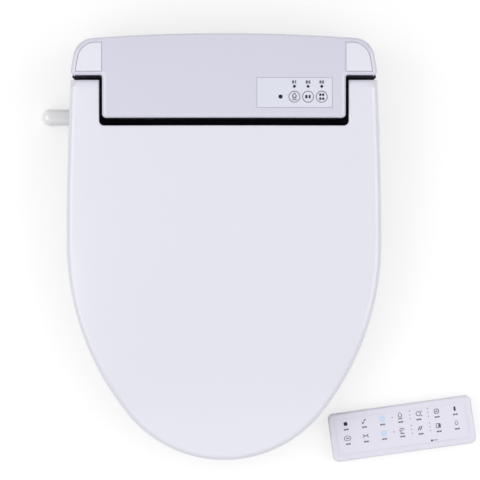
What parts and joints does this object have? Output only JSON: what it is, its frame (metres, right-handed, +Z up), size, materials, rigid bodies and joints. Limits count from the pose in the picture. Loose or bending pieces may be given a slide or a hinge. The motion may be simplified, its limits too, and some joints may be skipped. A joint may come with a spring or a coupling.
{
  "type": "electric bidet seat",
  "caption": "White electric bidet seat: crowned slow-close lid over a heated ring, rear housing with a button panel, side water elbow, extending spray nozzles, and a loose remote.",
  "frame": {"origin": "midway between the two bowl bolts, on the bowl-rim plane that the seat rests on", "axes": "+Z up from the bowl rim, +Y to the back of the bowl, +X to the right-hand side seen from above"},
  "size_m": [0.5416, 0.5299, 0.131],
  "materials": {
    "cover_white": "glossy white moulding with a faint cool tint",
    "lid_white": "high-gloss white moulding",
    "seat_white": "high-gloss white moulding",
    "seat_under": "plain white moulding",
    "chassis_black": "fine-textured black moulding",
    "control_grey": "fine-textured mid grey moulding",
    "panel_white": "smooth pale film over plastic",
    "button_white": "satin white keys with a grey ring",
    "lens_black": "dark translucent lens",
    "board_green": "circuit-board laminate",
    "component_black": "black component mouldings",
    "frame_black": "black glass-filled moulding",
    "acetal_white": "natural low-friction plastic",
    "nozzle_white": "smooth white moulding",
    "elbow_white": "white fitting",
    "bumper_rubber": "soft grey rubber",
    "steel": "turned stainless steel",
    "foil": "foil heater",
    "remote_white": "satin white moulding",
    "keypad_white": "matt printed film",
    "cell_wrap": "wrapped dry cell"
  },
  "bodies": {
    "base": {"base_chassis": "chassis_black", "top_cover": "cover_white", "hinge_cap_left": "cover_white", "hinge_cap_right": "cover_white", "panel_plate": "panel_white", "panel_lenses": "lens_black", "panel_board": "board_green", "tact_switches": "component_black", "main_board": "board_green", "board_parts": "component_black", "hinge_bracket_left": "frame_black", "hinge_bracket_right": "frame_black", "lid_damper": "frame_black", "seat_damper": "frame_black", "inlet_elbow": "elbow_white", "inlet_nut": "frame_black", "inlet_strainer": "steel", "inlet_valve": "acetal_white", "feed_hose": "bumper_rubber", "water_tank": "acetal_white", "tank_heater": "steel", "nozzle_cradle": "frame_black", "wash_motor": "steel", "bidet_motor": "steel", "fan_case": "frame_black", "fan_motor": "steel", "air_duct": "frame_black", "air_heater": "foil", "cord_gland": "frame_black", "case_screws": "steel"},
    "seat": {"seat_top": "seat_white", "seat_bottom": "seat_under", "seat_heater": "foil", "seat_bumpers": "bumper_rubber", "seat_shaft": "steel", "seat_shaft_clip": "steel"},
    "lid": {"lid_shell": "lid_white", "lid_bumpers": "bumper_rubber", "lid_shaft": "steel", "lid_shaft_clip": "steel"},
    "remote": {"remote_back": "remote_white", "remote_front": "remote_white", "remote_keypad": "keypad_white", "remote_board": "board_green", "remote_cells": "cell_wrap"},
    "wash_nozzle": {"wash_nozzle": "nozzle_white"},
    "bidet_nozzle": {"bidet_nozzle": "nozzle_white"},
    "wash_pinion": {"wash_pinion": "acetal_white"},
    "bidet_pinion": {"bidet_pinion": "acetal_white"},
    "fan_impeller": {"fan_impeller": "acetal_white"},
    "air_flap": {"air_flap": "acetal_white"},
    "button_left": {"button_left": "button_white"},
    "button_middle": {"button_middle": "button_white"},
    "button_right": {"button_right": "button_white"},
    "release_button": {"release_button": "control_grey"},
    "mounting_plate": {"mounting_plate": "chassis_black"},
    "filter_drawer": {"filter_drawer": "control_grey"},
    "battery_door": {"battery_door": "remote_white"}
  },
  "joints": [
    {"name": "seat_hinge", "type": "hinge", "parent": "base", "child": "seat", "pos_m": [0, 0, 0.102], "axis": [1, 0, 0], "range_deg": [-100, 0]},
    {"name": "lid_hinge", "type": "hinge", "parent": "seat", "child": "lid", "pos_m": [0, 0, 0.102], "axis": [-1, 0, 0], "range_deg": [0, 100]},
    {"name": "wash_slide", "type": "slide", "parent": "base", "child": "wash_nozzle", "axis": [0, -0.9397, -0.342], "range_m": [0, 0.07]},
    {"name": "bidet_slide", "type": "slide", "parent": "base", "child": "bidet_nozzle", "axis": [0, -0.9397, -0.342], "range_m": [0, 0.07]},
    {"name": "wash_pinion_turn", "type": "hinge", "parent": "base", "child": "wash_pinion", "pos_m": [-0.013, -0.01658, 0.05099], "axis": [-1, 0, 0], "range_deg": [0, 450]},
    {"name": "bidet_pinion_turn", "type": "hinge", "parent": "base", "child": "bidet_pinion", "pos_m": [0.013, -0.01658, 0.05099], "axis": [-1, 0, 0], "range_deg": [0, 450]},
    {"name": "fan_spin", "type": "hinge", "parent": "base", "child": "fan_impeller", "pos_m": [0.07, 0.044, 0.025], "axis": [0, 0, 1], "continuous": true},
    {"name": "flap_swing", "type": "hinge", "parent": "base", "child": "air_flap", "pos_m": [0.055, -0.0895, 0.0205], "axis": [-1, 0, 0], "range_deg": [0, 60]},
    {"name": "button_left_press", "type": "slide", "parent": "base", "child": "button_left", "axis": [0, 0, -1], "range_m": [0, 0.0008], "stiffness_N_per_m": 1500},
    {"name": "button_middle_press", "type": "slide", "parent": "base", "child": "button_middle", "axis": [0, 0, -1], "range_m": [0, 0.0008], "stiffness_N_per_m": 1500},
    {"name": "button_right_press", "type": "slide", "parent": "base", "child": "button_right", "axis": [0, 0, -1], "range_m": [0, 0.0008], "stiffness_N_per_m": 1500},
    {"name": "release_press", "type": "slide", "parent": "base", "child": "release_button", "axis": [1, 0, 0], "range_m": [0, 0.003], "stiffness_N_per_m": 900},
    {"name": "plate_slide", "type": "slide", "parent": "base", "child": "mounting_plate", "axis": [0, 1, 0], "range_m": [0, 0.03]},
    {"name": "filter_slide", "type": "slide", "parent": "base", "child": "filter_drawer", "axis": [1, 0, 0], "range_m": [0, 0.04]},
    {"name": "remote_lift", "type": "slide", "parent": "base", "child": "remote", "axis": [0, 0, 1], "range_m": [0, 0.3]},
    {"name": "battery_door_slide", "type": "slide", "parent": "remote", "child": "battery_door", "axis": [0.9903, 0.1392, 0], "range_m": [0, 0.055]}
  ],
  "couplings": [
    {"joint": "wash_pinion_turn", "follows": "wash_slide", "rad_per_m": 111.11},
    {"joint": "bidet_pinion_turn", "follows": "bidet_slide", "rad_per_m": 111.11}
  ]
}
